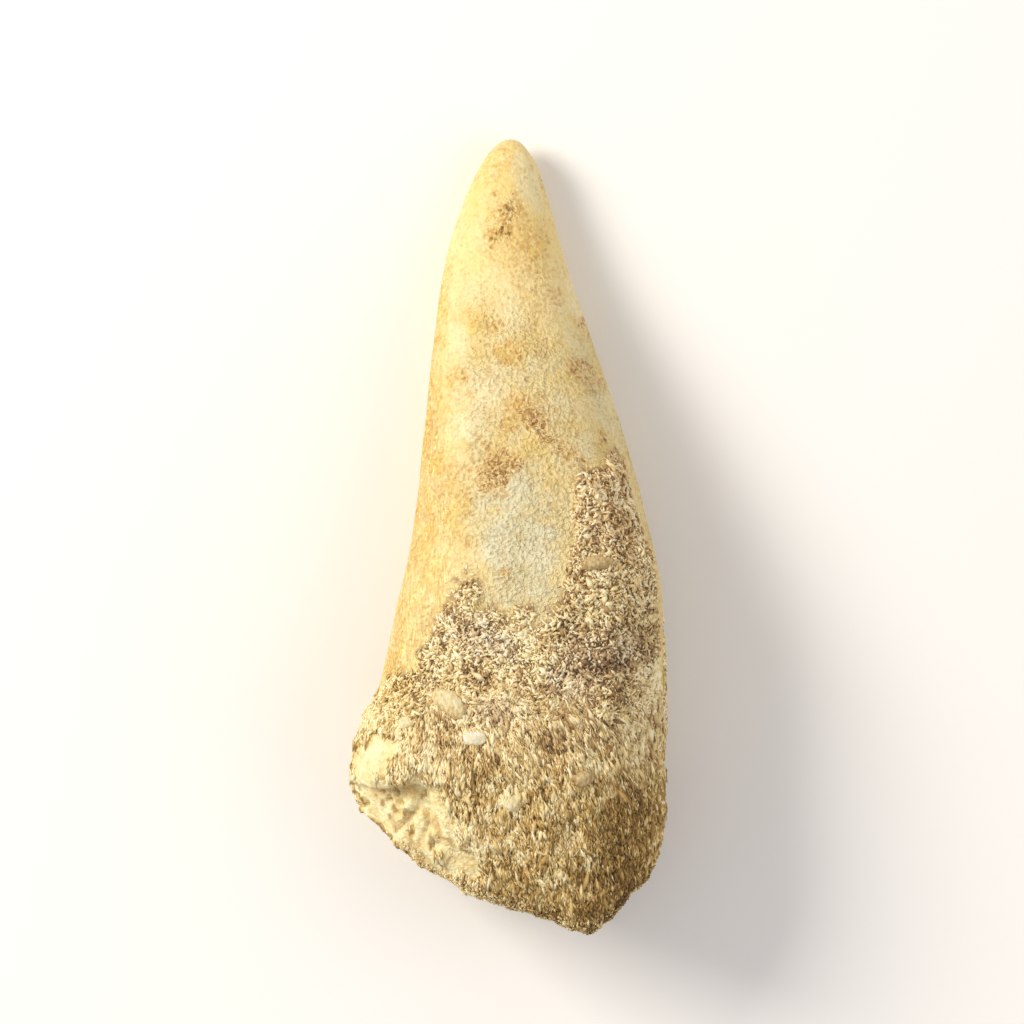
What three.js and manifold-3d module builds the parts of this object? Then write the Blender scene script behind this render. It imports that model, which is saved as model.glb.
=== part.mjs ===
// A fossil fish tooth: a curved fang and the swollen bone base that it grew on, as one solid.
// It lies on its side on z = 0 with its point towards +Y. X is its width, Z its thickness. Millimetres.
// A sandy crust is cemented to the base half, with small pebbles in it. The base end is an old
// break, and one corner of it has chipped away to the porous bone inside.
import * as THREE from "three";
import { mergeVertices } from "three/addons/utils/BufferGeometryUtils.js";
import Module from "manifold-3d";

// ---- Driving dimensions ----
const LENGTH = 38;
const TIP_Y = LENGTH / 2;
const TIP_X = 0.1;
const TIP_Z = 1.25;

// Edges seen from above, as [distance from the tip, x].
const LEFT_EDGE = [
  [0, TIP_X],
  [0.96, -1.18],
  [2.88, -2.14],
  [5.76, -3.05],
  [9.6, -3.62],
  [14.4, -4.15],
  [19.2, -4.73],
  [23, -5.6],
  [26.9, -6.4],
  [29.4, -7.2],
  [30.5, -7.48],
  [32, -7.05],
  [36, -6.2],
];
const RIGHT_EDGE = [
  [0, TIP_X],
  [0.96, 1.13],
  [2.88, 1.85],
  [5.76, 2.61],
  [9.6, 3.91],
  [14.4, 5.54],
  [18.3, 6.6],
  [22.1, 7.4],
  [26.9, 7.28],
  [29.9, 7.06],
  [32.6, 7.3],
  [38, 6.9],
];
// Thickness over width, and how far the underside lies above the floor before it is worn flat.
const THICKNESS_RATIO = [
  [0, 0.86],
  [6, 0.84],
  [16, 0.8],
  [26, 0.76],
  [32, 0.71],
  [38, 0.62],
];
const UNDERSIDE = [
  [0, TIP_Z],
  [1, 0.62],
  [3, 0.12],
  [6, -0.14],
  [14, 0.3],
  [21, 0.26],
  [27.5, -0.04],
  [32, 0.05],
  [38, 0.6],
];
// Superellipse power of a section: 2 is an ellipse, and more is squarer.
const SQUARENESS = [
  [0, 2],
  [14, 2.05],
  [28, 2.35],
  [38, 2.5],
];

// The cutting edges, one keel along each side.
const KEEL_HEIGHT = 0.16;
const KEEL_WIDTH = 0.13;

// The break across the base: straight runs seen from above, each as [x, y, slope].
const BREAK_RUNS = [
  [-6.8, -13.9, -0.84],
  [-3.25, -16.57, -0.41],
  [1.1, -18.32, -0.29],
  [3.9, -19.06, 0.95],
  [6.55, -16.55, 2.8],
];
const BREAK_ROUNDING = 0.4;
const BREAK_LEAN = 0.12;
// How far back from the break its edge starts to roll over, and the share of thickness it loses.
const ROLL_LENGTH = 2.2;
const ROLL_LOSS = 0.2;
const DISH_DEPTH = 1.3;
const DISH_RADIUS = 3.4;
const DISH_X = 0.9;
const DISH_Z = 4.6;

// The sandy crust: its upper limit all round the tooth, as [degrees from +X, distance from the tip].
const CRUST_LIMIT = [
  [0, 27.5],
  [14, 25],
  [24, 16.4],
  [45, 15.9],
  [62, 17],
  [74, 20.6],
  [84, 22.6],
  [104, 22.9],
  [110, 22],
  [116, 21.5],
  [124, 21.7],
  [132, 22.3],
  [138, 24.4],
  [148, 25.3],
  [162, 26.5],
  [180, 27.6],
  [205, 24],
  [232, 19.5],
  [262, 17.5],
  [290, 19.8],
  [318, 16.8],
  [345, 20.5],
  [360, 27.5],
];
const CRUST_HEIGHT = 0.3;
const CRUST_FADE = 0.9;
const CRUST_STRAY = 0.9;
const CRUST_LUMPS = 0.15;
const BODY_SWELLS = 0.12;
// Bone round the chip that the crust has come off, as [x, y, half length, half width, degrees].
const BARE_BONE = [
  [-6.2, -11.1, 1.5, 1.4, 0],
  [-6.1, -13, 2.2, 1.7, 120],
  [-3.6, -14, 2.4, 0.9, 118],
  [-4.7, -14.9, 2.2, 0.7, 142],
  [-2, -15.7, 1.2, 0.6, 130],
];

// The chipped corner: a ledge with a hollow below it, and the bone that bulges above it.
const LEDGE_Y = -11.95;
const LEDGE_DROP = 0.32;
const CHIP_RIGHT = -3.9;
const CHIP_REACH = 3.8;
const CHIP_DEPTH = 0.5;
const BULGE = { x: -6.2, y: -10.9, radius: 1.4, height: 0.42 };
// Pores in the chip, as [x, y, radius across, radius along].
const PORES = [
  [-6.07, -12.86, 0.13, 0.2],
  [-5.54, -13.05, 0.12, 0.18],
  [-5.45, -12.1, 0.14, 0.2],
  [-4.1, -12.7, 0.1, 0.28],
  [-4.73, -14.3, 0.1, 0.3],
];
const PORE_DEPTH = 0.5;

// Pebbles and shell scraps in the crust, as [x, y, half length, half width, turn in degrees].
const PEBBLES = [
  [-2.75, -8.1, 0.95, 0.55, -38],
  [4.35, -1.4, 0.9, 0.3, 14],
  [-1.5, -9.8, 0.6, 0.32, -8],
  [3.55, -11.6, 0.6, 0.42, 20],
  [-4.95, -9.05, 0.36, 0.3, 0],
  [0.1, -12.8, 0.5, 0.36, 60],
];
const PEBBLE_RISE = 0.12;
const PEBBLE_THICKNESS = 0.3;

// How finely the faces are laid out: the rings crowd at the round tip and near the chip, where
// [share of the rings, share of the length].
const RINGS = 54;
const RING_PLACES = [
  [0, 0],
  [0.1, 0.045],
  [0.74, 0.86],
  [1, 1],
];
const CAP_RINGS = 9;
const AROUND = 60;

// ---- Small helpers ----
const clamp = (x, low, high) => Math.min(Math.max(x, low), high);
const mix = (a, b, t) => a + (b - a) * t;
const ramp = (low, high, x) => {
  const t = clamp((x - low) / (high - low), 0, 1);
  return t * t * (3 - 2 * t);
};
const bell = (x, width) => Math.exp(-((x / width) ** 2));

// A smooth curve through [x, y] points: a cubic whose slope at a point follows its neighbours.
function curve(points) {
  const slope = points.map((_, i) => {
    const [x0, y0] = points[Math.max(i - 1, 0)];
    const [x1, y1] = points[Math.min(i + 1, points.length - 1)];
    return (y1 - y0) / (x1 - x0);
  });
  return (x) => {
    let i = 0;
    while (i < points.length - 2 && x > points[i + 1][0]) i += 1;
    const [x0, y0] = points[i];
    const [x1, y1] = points[i + 1];
    const span = x1 - x0;
    const t = clamp((x - x0) / span, 0, 1);
    const rise = t * t * (3 - 2 * t);
    const start = t * (1 - t) ** 2 * span * slope[i];
    const end = t * t * (t - 1) * span * slope[i + 1];
    return mix(y0, y1, rise) + start + end;
  };
}

// The same, for what changes with the square root of the distance, as the sides of a round tip do.
function tipCurve(points) {
  const inner = curve(points.map(([x, y]) => [Math.sqrt(x), y]));
  return (x) => inner(Math.sqrt(Math.max(x, 0)));
}

// Value noise from -1 to 1, smooth between the whole-number points of space.
function hash(i, j, k) {
  const s = Math.sin(i * 127.1 + j * 311.7 + k * 74.7) * 43758.5453;
  return (s - Math.floor(s)) * 2 - 1;
}
function noise(x, y, z) {
  const [i, j, k] = [Math.floor(x), Math.floor(y), Math.floor(z)];
  const [u, v, w] = [x - i, y - j, z - k].map((t) => t * t * (3 - 2 * t));
  const row = (b, c) => mix(hash(i, j + b, k + c), hash(i + 1, j + b, k + c), u);
  return mix(mix(row(0, 0), row(1, 0), v), mix(row(0, 1), row(1, 1), v), w);
}
const noiseAt = (p, size) => noise(p.x / size, p.y / size, p.z / size);

// ---- The form of the tooth ----
const leftEdge = tipCurve(LEFT_EDGE);
const rightEdge = tipCurve(RIGHT_EDGE);
const thicknessRatio = curve(THICKNESS_RATIO);
const underside = tipCurve(UNDERSIDE);
const squareness = curve(SQUARENESS);
const crustLimit = curve(CRUST_LIMIT);
const ringPlace = curve(RING_PLACES);

// The keels run out just below the tip and under the crust.
const keelTaper = (depth) => ramp(0.3, 3, depth) * (1 - ramp(24, 31, depth));

// The section at a distance from the tip: its middle, half width and half thickness.
function section(depth) {
  const half = (rightEdge(depth) - leftEdge(depth)) / 2 - KEEL_HEIGHT * keelTaper(depth);
  const thick = half * thicknessRatio(depth);
  return {
    x: (rightEdge(depth) + leftEdge(depth)) / 2,
    z: underside(depth) + thick,
    half,
    thick,
    power: 2 / squareness(depth),
  };
}

// A point of the smooth form. The angle runs from +X over the top to -X and back underneath.
// Within a roll's length of the break, whose depth is given, the upper side rolls over.
function surfacePoint(depth, angle, end) {
  const s = section(depth);
  const [c, n] = [Math.cos(angle), Math.sin(angle)];
  const near = clamp(1 - (end - depth) / ROLL_LENGTH, 0, 1);
  const kept = n > 0 ? 1 - ROLL_LOSS * (1 - Math.sqrt(1 - near * near)) : 1;
  const x = s.x + s.half * Math.sign(c) * Math.abs(c) ** s.power;
  const z = s.z + s.thick * kept * Math.sign(n) * Math.abs(n) ** s.power;
  return new THREE.Vector3(x, TIP_Y - depth, z);
}

// The larger of two numbers, rounded over where they meet.
function roundedMax(a, b, radius) {
  const h = Math.max(radius - Math.abs(a - b), 0) / radius;
  return Math.max(a, b) + (h * h * radius) / 4;
}

// Where the break lies: its y at a place across the base. It leans in towards the underside.
function breakY(x, z) {
  const runs = BREAK_RUNS.map(([x0, y0, slope]) => y0 + slope * (x - x0));
  const edge = runs.reduce((a, b) => roundedMax(a, b, BREAK_ROUNDING));
  return edge + BREAK_LEAN * (2 * DISH_Z - z);
}

// The distance from the tip at which the smooth form meets the break, at one angle.
function depthAtBreak(angle) {
  const tries = 12;
  let depth = LENGTH * 0.9;
  for (let i = 0; i < tries; i += 1) {
    const p = surfacePoint(depth, angle, depth);
    depth = TIP_Y - breakY(p.x, p.z);
  }
  return depth;
}

// ---- What stands on the form or is missing from it ----
function chipShare(p, upper) {
  const wave = 0.18 * noise(p.x * 1.3, 7, 3);
  const below = ramp(0, LEDGE_DROP, LEDGE_Y + wave - p.y);
  const fade = 1 - ramp(CHIP_REACH * 0.35, CHIP_REACH, LEDGE_Y - p.y);
  const edge = CHIP_RIGHT - 0.25 * (p.y - LEDGE_Y);
  const across = 1 - ramp(edge - LEDGE_DROP, edge + LEDGE_DROP, p.x);
  return below * fade * across * upper;
}

function crustShare(p, depth, angle) {
  const degrees = THREE.MathUtils.euclideanModulo(THREE.MathUtils.radToDeg(angle), 360);
  const stray = CRUST_STRAY * (noiseAt(p, 1.9) + 0.5 * noiseAt(p, 0.8));
  const reach = depth - crustLimit(degrees) + stray;
  return ramp(-CRUST_FADE, CRUST_FADE, reach);
}

// 1 in the middle of an ellipse seen from above, and 0 well outside it.
function blot(p, [x, y, long, wide, turn]) {
  const t = THREE.MathUtils.degToRad(turn);
  const along = ((p.x - x) * Math.cos(t) + (p.y - y) * Math.sin(t)) / long;
  const across = ((p.y - y) * Math.cos(t) - (p.x - x) * Math.sin(t)) / wide;
  return 1 - ramp(0.55, 1.35, Math.hypot(along, across));
}

function bareShare(p, angle) {
  const above = ramp(-0.3, 0.1, Math.sin(angle));
  return above * Math.max(...BARE_BONE.map((place) => blot(p, place)));
}

// How far the skin lies outside the smooth form at a point.
function relief(p, depth, angle) {
  const upper = ramp(0.05, 0.55, Math.sin(angle));
  const low = ramp(8, 30, depth);
  const chip = chipShare(p, upper);
  const crust = crustShare(p, depth, angle) * (1 - Math.max(chip, bareShare(p, angle)));
  const keel = KEEL_HEIGHT * keelTaper(depth) * bell(Math.sin(angle), KEEL_WIDTH);
  const swells = BODY_SWELLS * low * noiseAt(p, 4.5);
  const lumps = CRUST_LUMPS * (noiseAt(p, 1.6) + 0.6 * noiseAt(p, 0.95));
  const away = Math.hypot(p.x - BULGE.x, p.y - BULGE.y);
  const bulge = BULGE.height * bell(away, BULGE.radius) * upper;
  return keel + swells + crust * (CRUST_HEIGHT + lumps) + bulge * (1 - chip) - CHIP_DEPTH * chip;
}

// The rough face of the break, hollowed where the pulp was.
function brokenFacePoint(rim, share) {
  const x = mix(rim.x, DISH_X, share);
  const z = mix(rim.z, DISH_Z, share);
  const dish = DISH_DEPTH * bell(Math.hypot(x - DISH_X, z - DISH_Z), DISH_RADIUS);
  const rough = 0.28 * noise(x / 1.4, 5, z / 1.4) + 0.16 * noise(x / 0.7, 9, z / 0.7);
  const inside = ramp(0, 0.3, share) * (1 - 0.4 * ramp(0.6, 1, share));
  return new THREE.Vector3(x, breakY(x, z) + (dish + rough) * inside, z);
}

// ---- The solid ----
// Rings of points from the tip to the break, then over the broken face to its middle.
function layOutPoints() {
  const rings = [];
  const angles = Array.from({ length: AROUND }, (_, j) => (2 * Math.PI * j) / AROUND);
  const ends = angles.map(depthAtBreak);
  for (let i = 1; i <= RINGS; i += 1) {
    const share = ringPlace(i / RINGS);
    const ring = angles.map((angle, j) => {
      const depth = share * ends[j];
      return { at: surfacePoint(depth, angle, ends[j]), depth, angle };
    });
    rings.push(ring);
  }
  const rim = rings[RINGS - 1];
  for (let i = 1; i < CAP_RINGS; i += 1) {
    const share = i / CAP_RINGS;
    rings.push(rim.map(({ at }) => ({ at: brokenFacePoint(at, share) })));
  }
  const tip = { at: new THREE.Vector3(TIP_X, TIP_Y, TIP_Z) };
  const middle = { at: brokenFacePoint(rim[0].at, 1) };
  return { tip, rings, middle };
}

function facesOf(ringCount) {
  const faces = [];
  const point = (i, j) => 1 + i * AROUND + (j % AROUND);
  const last = 1 + ringCount * AROUND;
  for (let j = 0; j < AROUND; j += 1) {
    faces.push(0, point(0, j + 1), point(0, j));
    faces.push(last, point(ringCount - 1, j), point(ringCount - 1, j + 1));
    for (let i = 0; i < ringCount - 1; i += 1) {
      const [a, b] = [point(i, j), point(i, j + 1)];
      const [c, d] = [point(i + 1, j), point(i + 1, j + 1)];
      if ((i + j) % 2) faces.push(a, b, c, b, d, c);
      else faces.push(a, b, d, a, d, c);
    }
  }
  return faces;
}

function toothGeometry() {
  const { tip, rings, middle } = layOutPoints();
  const points = [tip, ...rings.flat(), middle];
  const geometry = new THREE.BufferGeometry();
  geometry.setFromPoints(points.map(({ at }) => at));
  geometry.setIndex(facesOf(rings.length));
  geometry.computeVertexNormals();
  const normals = geometry.attributes.normal;
  const placed = points.map(({ at, depth, angle }, i) => {
    const raised = depth === undefined ? 0 : relief(at, depth, angle);
    const normal = new THREE.Vector3().fromBufferAttribute(normals, i);
    const moved = at.clone().addScaledVector(normal, raised);
    moved.z = Math.max(moved.z, 0);
    return moved;
  });
  geometry.setFromPoints(placed);
  geometry.deleteAttribute("normal");
  return geometry;
}

// ---- Joining and cutting ----
const wasm = await Module();
wasm.setup();

function solidOf(geometry) {
  const bare = geometry.clone();
  bare.deleteAttribute("normal");
  bare.deleteAttribute("uv");
  const merged = mergeVertices(bare);
  const vertProperties = merged.attributes.position.array;
  const triVerts = new Uint32Array(merged.index.array);
  return new wasm.Manifold(new wasm.Mesh({ numProp: 3, vertProperties, triVerts }));
}

function geometryOf(solid) {
  const { vertProperties, triVerts } = solid.getMesh();
  const geometry = new THREE.BufferGeometry();
  geometry.setAttribute("position", new THREE.BufferAttribute(vertProperties, 3));
  geometry.setIndex(new THREE.BufferAttribute(triVerts, 1));
  geometry.computeVertexNormals();
  return geometry;
}

// An ellipsoid seated on the upper skin at x, y, tilted to lie along it.
function seated(skin, x, y, [half, width, thick], turn, rise) {
  const down = new THREE.Raycaster(new THREE.Vector3(x, y, LENGTH), new THREE.Vector3(0, 0, -1));
  const hit = down.intersectObject(skin)[0];
  const ball = new THREE.SphereGeometry(1, 12, 8);
  ball.scale(half, width, thick);
  ball.rotateZ(THREE.MathUtils.degToRad(turn));
  const up = new THREE.Vector3(0, 0, 1);
  const lean = new THREE.Quaternion().setFromUnitVectors(up, hit.face.normal);
  ball.applyQuaternion(lean);
  const place = hit.point.addScaledVector(hit.face.normal, rise);
  ball.translate(place.x, place.y, place.z);
  return solidOf(ball);
}

function finishedTooth() {
  const form = toothGeometry();
  const skin = new THREE.Mesh(form);
  let solid = solidOf(form);
  for (const [x, y, half, width, turn] of PEBBLES) {
    const size = [half, width, PEBBLE_THICKNESS];
    solid = solid.add(seated(skin, x, y, size, turn, PEBBLE_RISE - PEBBLE_THICKNESS / 2));
  }
  for (const [x, y, across, along] of PORES) {
    solid = solid.subtract(seated(skin, x, y, [across, along, PORE_DEPTH], 0, 0));
  }
  return geometryOf(solid);
}

const fossil = new THREE.MeshStandardMaterial({ color: 0xe2c893, roughness: 0.62, metalness: 0 });
const tooth = new THREE.Mesh(finishedTooth(), fossil);
tooth.name = "tooth";

const part = new THREE.Group();
part.add(tooth);

export default part;
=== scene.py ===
# %% [markdown]
# # A fossil fish tooth with a crust of sand
#
# A fossil tooth has several skins: smooth enamel on the fang, bone on the swollen base, and sand
# that was cemented to the base while it lay buried. This lesson builds it from the form outwards.
# Curves give the body, and noise and masks the skins. Then the sand is laid on grain by grain, as
# real small stones, because painted sand gives itself away at the outline and in every shadow.
#
# The solid model gives the size and the place. It is loaded first, and nothing here moves it.

# %% Load the solid model
import math

import bmesh
import bpy
import numpy as np
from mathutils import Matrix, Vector


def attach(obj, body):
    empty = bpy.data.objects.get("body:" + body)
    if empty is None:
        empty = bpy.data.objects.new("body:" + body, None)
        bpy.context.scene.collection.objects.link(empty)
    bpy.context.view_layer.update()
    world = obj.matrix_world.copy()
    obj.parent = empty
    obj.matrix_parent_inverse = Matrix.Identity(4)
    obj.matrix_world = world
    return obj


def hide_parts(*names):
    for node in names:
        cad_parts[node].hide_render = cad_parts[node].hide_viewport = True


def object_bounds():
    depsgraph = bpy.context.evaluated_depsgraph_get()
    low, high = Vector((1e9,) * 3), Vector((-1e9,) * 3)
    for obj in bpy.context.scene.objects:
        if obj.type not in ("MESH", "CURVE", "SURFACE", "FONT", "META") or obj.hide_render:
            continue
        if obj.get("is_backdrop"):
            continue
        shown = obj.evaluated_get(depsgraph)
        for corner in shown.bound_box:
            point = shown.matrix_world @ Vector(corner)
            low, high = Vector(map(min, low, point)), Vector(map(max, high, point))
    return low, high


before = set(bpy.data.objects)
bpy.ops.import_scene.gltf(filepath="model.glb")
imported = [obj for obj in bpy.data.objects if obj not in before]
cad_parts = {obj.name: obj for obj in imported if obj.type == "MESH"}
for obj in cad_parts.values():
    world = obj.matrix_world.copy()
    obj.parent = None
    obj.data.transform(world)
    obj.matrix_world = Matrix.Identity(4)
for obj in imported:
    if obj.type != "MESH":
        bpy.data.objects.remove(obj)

cad_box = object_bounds()
MM = 0.001
print("solid model, mm:", [[round(c / MM, 2) for c in corner] for corner in cad_box])


def new_object(name, data):
    """An object in the scene."""
    made = bpy.data.objects.new(name, data)
    bpy.context.collection.objects.link(made)
    return made


# %% [markdown]
# ## The camera
#
# The tooth lies on its flank with its point towards +Y, and the camera looks straight down on it. A
# long lens keeps the outline true: with a short one, the thick middle would swell.

# %% Camera
VIEW_WIDTH = 49.13 * MM
VIEW_CENTRE = (0.12 * MM, 1.06 * MM)
WIDEST_PLANE = 4.9 * MM
LENS = 1000
SENSOR = 36
NEAR_CLIP = 10 * MM

lens_data = bpy.data.cameras.new("camera")
lens_data.lens = LENS
lens_data.sensor_width = SENSOR
lens_data.clip_start = NEAR_CLIP
camera = new_object("camera", lens_data)
camera_distance = VIEW_WIDTH * LENS / SENSOR
camera.location = (*VIEW_CENTRE, WIDEST_PLANE + camera_distance)
bpy.context.scene.camera = camera
print("camera above the widest plane, mm:", round(camera_distance / MM, 1))

# %% [markdown]
# ## Colour and nodes
#
# A colour given here is an sRGB value, and the renderer wants linear light, so one function turns one into
# the other. Materials here are node trees, and one small function adds any node.

# %% Colour and node helpers
def paint(hex_colour):
    """An sRGB colour such as "#f2dfa0" as linear red, green, blue and alpha."""
    parts = [int(hex_colour[i : i + 2], 16) / 255 for i in (1, 3, 5)]
    linear = [c / 12.92 if c <= 0.04045 else ((c + 0.055) / 1.055) ** 2.4 for c in parts]
    return (*linear, 1.0)


def feed(node, name, value):
    """Gives an input of a node, by name or place, a value or a socket to follow."""
    if isinstance(value, bpy.types.NodeSocket):
        node.id_data.links.new(value, node.inputs[name])
    else:
        node.inputs[name].default_value = value


def add(tree, kind, inputs=None, out=0, **settings):
    """Adds a shader node, sets its properties, feeds its inputs and gives one of its outputs."""
    made = tree.nodes.new("ShaderNode" + kind)
    for name, value in settings.items():
        setattr(made, name, value)
    for name, value in (inputs or {}).items():
        feed(made, name, value)
    return made.outputs[out]


def mask_of(tree, name):
    """An attribute of the mesh as a number."""
    return add(tree, "Attribute", out="Fac", attribute_name=name)


def maths(tree, operation, *values):
    """A sum of up to three numbers or sockets."""
    return add(tree, "Math", dict(enumerate(values)), operation=operation)


def new_material(name):
    """A material with an empty Principled shader, and its tree and shader."""
    material = bpy.data.materials.new(name)
    material.use_nodes = True
    tree = material.node_tree
    return material, tree, tree.nodes["Principled BSDF"]


# %% [markdown]
# ## The floor and the light
#
# The main light is a wide lamp up and to the left, low enough to rake over the sand, so that each
# grain has a lit side and a shaded one. A weaker and wider lamp on the right and a pale sky fill
# the shadows. The floor lies a hair under the tooth, so that no two surfaces share a plane.

# %% Floor
FLOOR_SIZE = 600 * MM
FLOOR_DROP = 0.02 * MM
FLOOR_PAPER = "#fbfaf8"
CARD_ROUGHNESS = 0.9

bpy.ops.mesh.primitive_plane_add(size=FLOOR_SIZE, location=(0, 0, -FLOOR_DROP))
floor = bpy.context.object
floor.name = "floor"
paper, tree, shader = new_material("matt_card")
feed(shader, "Base Color", paint(FLOOR_PAPER))
feed(shader, "Roughness", CARD_ROUGHNESS)
floor.data.materials.append(paper)
floor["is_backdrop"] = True


# %% Lights
SKY_COLOUR = "#fbfafb"
SKY_STRENGTH = 0.47


def lamp(name, place, size, power, colour):
    """A square area lamp, its place and size in millimetres, aimed at the middle of the tooth."""
    data = bpy.data.lights.new(name, "AREA")
    data.size = size * MM
    data.energy = power
    data.color = paint(colour)[:3]
    made = new_object(name, data)
    made.location = Vector(place) * MM
    aim = Vector((0, 0, WIDEST_PLANE)) - made.location
    made.rotation_euler = aim.to_track_quat("-Z", "Y").to_euler()


lamp("key_light", (-205, 100, 175), size=120, power=0.72, colour="#fff8ec")
lamp("soft_fill", (185, -40, 180), size=240, power=0.19, colour="#fff5ee")

sky = bpy.data.worlds.new("sky")
sky.use_nodes = True
background = sky.node_tree.nodes["Background"]
feed(background, "Color", paint(SKY_COLOUR))
feed(background, "Strength", SKY_STRENGTH)
bpy.context.scene.world = sky
bpy.context.scene.view_settings.view_transform = "Standard"

# %% [markdown]
# ## Curves and noise
#
# The body is drawn by a few curves along its length, and its roughness by value noise. Both are
# formulas, so each run gives the same tooth. Lengths are millimetres until a mesh is made.

# %% Curves and noise
def mix(a, b, t):
    """a where t is 0, b where it is 1, and between them in proportion."""
    return a + (b - a) * t


def ramp(low, high, x):
    """From 0 at low to 1 at high, smooth at both ends."""
    t = np.clip((x - low) / (high - low), 0, 1)
    return t * t * (3 - 2 * t)


def bell(x, width):
    """1 at 0, falling off on both sides."""
    return np.exp(-((x / width) ** 2))


def curve(points):
    """A smooth curve through (x, y) points, whose slope at a point follows its neighbours."""
    xs, ys = np.array(points, float).T
    index = np.arange(len(xs))
    before = np.maximum(index - 1, 0)
    after = np.minimum(index + 1, len(xs) - 1)
    slope = (ys[after] - ys[before]) / (xs[after] - xs[before])

    def value(x):
        i = np.clip(np.searchsorted(xs, x) - 1, 0, len(xs) - 2)
        span = xs[i + 1] - xs[i]
        t = np.clip((x - xs[i]) / span, 0, 1)
        start = t * (1 - t) ** 2 * span * slope[i]
        end = t * t * (t - 1) * span * slope[i + 1]
        return mix(ys[i], ys[i + 1], t * t * (3 - 2 * t)) + start + end

    return value


def tip_curve(points):
    """The same, over the square root of x, as a round tip needs."""
    inner = curve([(math.sqrt(x), y) for x, y in points])
    return lambda x: inner(np.sqrt(np.maximum(x, 0)))


def hashed(i, j, k):
    """A number from -1 to 1 for each whole-number point, with no visible order."""
    s = np.sin(i * 127.1 + j * 311.7 + k * 74.7) * 43758.5453
    return (s - np.floor(s)) * 2 - 1


def noise(x, y, z):
    """Value noise from -1 to 1, smooth between the whole-number points of space."""
    x, y, z = np.broadcast_arrays(x, y, z)
    i, j, k = np.floor(x), np.floor(y), np.floor(z)
    u, v, w = (t * t * (3 - 2 * t) for t in (x - i, y - j, z - k))
    corner = lambda a, b, c: hashed(i + a, j + b, k + c)
    row = lambda b, c: mix(corner(0, b, c), corner(1, b, c), u)
    return mix(mix(row(0, 0), row(1, 0), v), mix(row(0, 1), row(1, 1), v), w)


def noise_at(p, size):
    """Noise at points, with lumps about size millimetres across."""
    return noise(p[..., 0] / size, p[..., 1] / size, p[..., 2] / size)


# %% [markdown]
# ## The body
#
# A fang and its base are one swelling form, so the body is a loft: at each distance from the tip
# there is a rounded section, and curves of (millimetres from the tip, value) say how wide, how
# thick and how high it is. The outline seen from above is drawn as two edges, because a fang bends.
# The form could also be sculpted, but curves keep it at the size of the solid model.

# %% Stations of the body
LENGTH = 38
TIP_X, TIP_Y, TIP_Z = 0.1, LENGTH / 2, 1.25
left_edge = tip_curve([
    (0, TIP_X), (0.96, -1.18), (2.88, -2.14), (5.76, -3.05), (9.6, -3.62), (14.4, -4.15), (19.2, -4.73),
    (23, -5.6), (26.9, -6.4), (29.4, -7.2), (30.5, -7.48), (32, -7.05), (36, -6.2),
])
right_edge = tip_curve([
    (0, TIP_X), (0.96, 1.13), (2.88, 1.85), (5.76, 2.61), (9.6, 3.91), (14.4, 5.54), (18.3, 6.6),
    (22.1, 7.4), (26.9, 7.28), (29.9, 7.06), (32.6, 7.3), (38, 6.9),
])
thickness_ratio = curve([(0, 0.86), (6, 0.84), (16, 0.8), (26, 0.76), (32, 0.71), (38, 0.62)])
underside = tip_curve([
    (0, TIP_Z), (1, 0.62), (3, 0.12), (6, -0.14), (14, 0.3), (21, 0.26), (27.5, -0.04), (32, 0.05), (38, 0.6),
])
squareness = curve([(0, 2), (14, 2.05), (28, 2.35), (38, 2.5)])
KEEL_HEIGHT = 0.16
KEEL_WIDTH = 0.13
KEEL_START = (0.3, 3)
KEEL_END = (24, 31)


def keel_taper(depth):
    """How much of the keels' height stands at a distance from the tip."""
    return ramp(*KEEL_START, depth) * (1 - ramp(*KEEL_END, depth))


# %% [markdown]
# The base ends in an old break. Seen from above it is a run of straight edges with rounded corners,
# and near it the upper side rolls down a little. Where the body meets the break is found by trying
# a depth, seeing where the break lies there, and trying again.

# %% The break and a point of the body
# x, y, slope
BREAK_RUNS = [
    (-6.8, -13.9, -0.84), (-3.25, -16.57, -0.41), (1.1, -18.32, -0.29), (3.9, -19.06, 0.95),
    (6.55, -16.55, 2.8),
]
BREAK_ROUNDING = 0.4
BREAK_LEAN = 0.12
ROLL_LENGTH = 2.2
ROLL_LOSS = 0.2
DISH_DEPTH, DISH_RADIUS, DISH_X, DISH_Z = 1.3, 3.4, 0.9, 4.6
FIRST_GUESS = 0.9 * LENGTH


def surface_point(depth, angle, end):
    """A point of the smooth body. The angle runs from +X over the top to -X and back underneath."""
    half = (right_edge(depth) - left_edge(depth)) / 2 - KEEL_HEIGHT * keel_taper(depth)
    thick = half * thickness_ratio(depth)
    power = 2 / squareness(depth)
    c, n = np.cos(angle), np.sin(angle)
    near = np.clip(1 - (end - depth) / ROLL_LENGTH, 0, 1)
    kept = np.where(n > 0, 1 - ROLL_LOSS * (1 - np.sqrt(1 - near * near)), 1)
    x = (right_edge(depth) + left_edge(depth)) / 2 + half * np.sign(c) * np.abs(c) ** power
    z = underside(depth) + thick + thick * kept * np.sign(n) * np.abs(n) ** power
    return np.stack([x, TIP_Y - depth + 0 * angle, z], -1)


def rounded_max(a, b):
    """The larger of two values, rounded over where they cross."""
    h = np.maximum(BREAK_ROUNDING - np.abs(a - b), 0) / BREAK_ROUNDING
    return np.maximum(a, b) + h * h * BREAK_ROUNDING / 4


def break_y(x, z):
    """Where the plain break lies. It leans a little."""
    edge = -np.inf + 0 * x
    for x0, y0, slope in BREAK_RUNS:
        edge = rounded_max(edge, y0 + slope * (x - x0))
    return edge + BREAK_LEAN * (2 * DISH_Z - z)


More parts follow.
